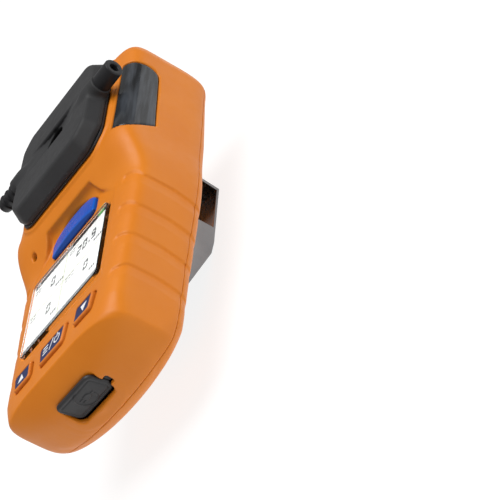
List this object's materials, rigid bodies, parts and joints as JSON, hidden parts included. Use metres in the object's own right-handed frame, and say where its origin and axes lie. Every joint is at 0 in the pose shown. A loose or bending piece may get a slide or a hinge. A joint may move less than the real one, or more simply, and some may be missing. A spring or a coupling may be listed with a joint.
{
  "type": "portable gas detector",
  "caption": "Hand-held multi-gas detector with a colour display, three keys, four sensor ports, alarm lens, belt clip and a lift-off calibration cap.",
  "frame": {"origin": "on the plane of the belt clip outer face, under the middle of the bounding box", "axes": "+Z out of the display face, +Y towards the sensor end, +X to the right of someone reading the display"},
  "size_m": [0.0716, 0.1297, 0.058],
  "materials": {
    "orange_shell": "satin soft-touch moulding",
    "orange_key": "satin",
    "black_rubber": "matte",
    "dark_rubber": "satin",
    "clear_window": "polished",
    "display_panel": "gloss",
    "blue_lens": "moulded translucent",
    "led_white": "gloss",
    "smoked_window": "polished smoked",
    "filter_mesh": "fine woven mesh",
    "sensor_steel": "sintered and turned",
    "sensor_body": "moulded",
    "circuit_board": "solder mask",
    "switch_plastic": "moulded",
    "battery_wrap": "foil pouch",
    "bright_steel": "bright plated",
    "black_steel": "black oxide",
    "key_label": "printed film",
    "brass_insert": "turned",
    "clip_steel": "polished sheet",
    "spring_steel": "drawn wire",
    "cap_plastic": "fine texture",
    "nozzle_plastic": "moulded"
  },
  "bodies": {
    "case": {"front_shell": "orange_shell", "rear_shell": "orange_shell", "case_seal": "black_rubber", "display_window": "clear_window", "display_module": "display_panel", "alarm_lens": "blue_lens", "alarm_leds": "led_white", "side_window_left": "smoked_window", "side_window_right": "smoked_window", "sensor_gaskets": "dark_rubber", "sensor_filters": "filter_mesh", "combustible_sensor": "sensor_steel", "oxygen_sensor": "sensor_body", "carbon_monoxide_sensor": "sensor_body", "hydrogen_sulfide_sensor": "sensor_body", "sensor_board": "circuit_board", "main_board": "circuit_board", "key_switches": "switch_plastic", "battery": "battery_wrap", "buzzer": "switch_plastic", "vibration_motor": "bright_steel", "usb_socket": "bright_steel", "usb_tether": "black_rubber", "screw_insert": "brass_insert", "case_screws": "bright_steel", "board_screws": "bright_steel", "clip_base": "clip_steel", "clip_screws": "bright_steel", "clip_pin": "bright_steel", "clip_spring": "spring_steel"},
    "key_up": {"key_up": "orange_key", "label_up": "key_label"},
    "key_menu": {"key_menu": "orange_key", "label_menu": "key_label"},
    "key_down": {"key_down": "orange_key", "label_down": "key_label"},
    "usb_cover": {"usb_cover": "black_rubber"},
    "clip_lever": {"clip_lever": "clip_steel"},
    "cap": {"cap_body": "cap_plastic", "cap_gasket": "black_rubber", "nozzle_left": "nozzle_plastic", "nozzle_right": "nozzle_plastic"},
    "cap_screw": {"cap_screw": "black_steel"}
  },
  "joints": [
    {"name": "press_key_up", "type": "slide", "parent": "case", "child": "key_up", "axis": [0, 0, -1], "range_m": [0, 0.0006], "stiffness_N_per_m": 600},
    {"name": "press_key_menu", "type": "slide", "parent": "case", "child": "key_menu", "axis": [0, 0, -1], "range_m": [0, 0.0006], "stiffness_N_per_m": 600},
    {"name": "press_key_down", "type": "slide", "parent": "case", "child": "key_down", "axis": [0, 0, -1], "range_m": [0, 0.0006], "stiffness_N_per_m": 600},
    {"name": "open_usb_cover", "type": "hinge", "parent": "case", "child": "usb_cover", "pos_m": [0.0098, -0.06384, 0.03048], "axis": [0, 0.2233, 0.9748], "range_deg": [0, 95]},
    {"name": "squeeze_clip", "type": "hinge", "parent": "case", "child": "clip_lever", "pos_m": [0, 0.011, 0.009], "axis": [1, 0, 0], "range_deg": [0, 13], "stiffness_Nm_per_rad": 0.6, "springref_deg": -20.05, "deforming": ["clip_spring"]},
    {"name": "lift_cap", "type": "slide", "parent": "case", "child": "cap", "axis": [0, 0, 1], "range_m": [0, 0.03]},
    {"name": "turn_cap_screw", "type": "hinge", "parent": "cap", "child": "cap_screw", "pos_m": [0, 0.03675, 0.053], "axis": [0, 0, 1], "continuous": true}
  ]
}
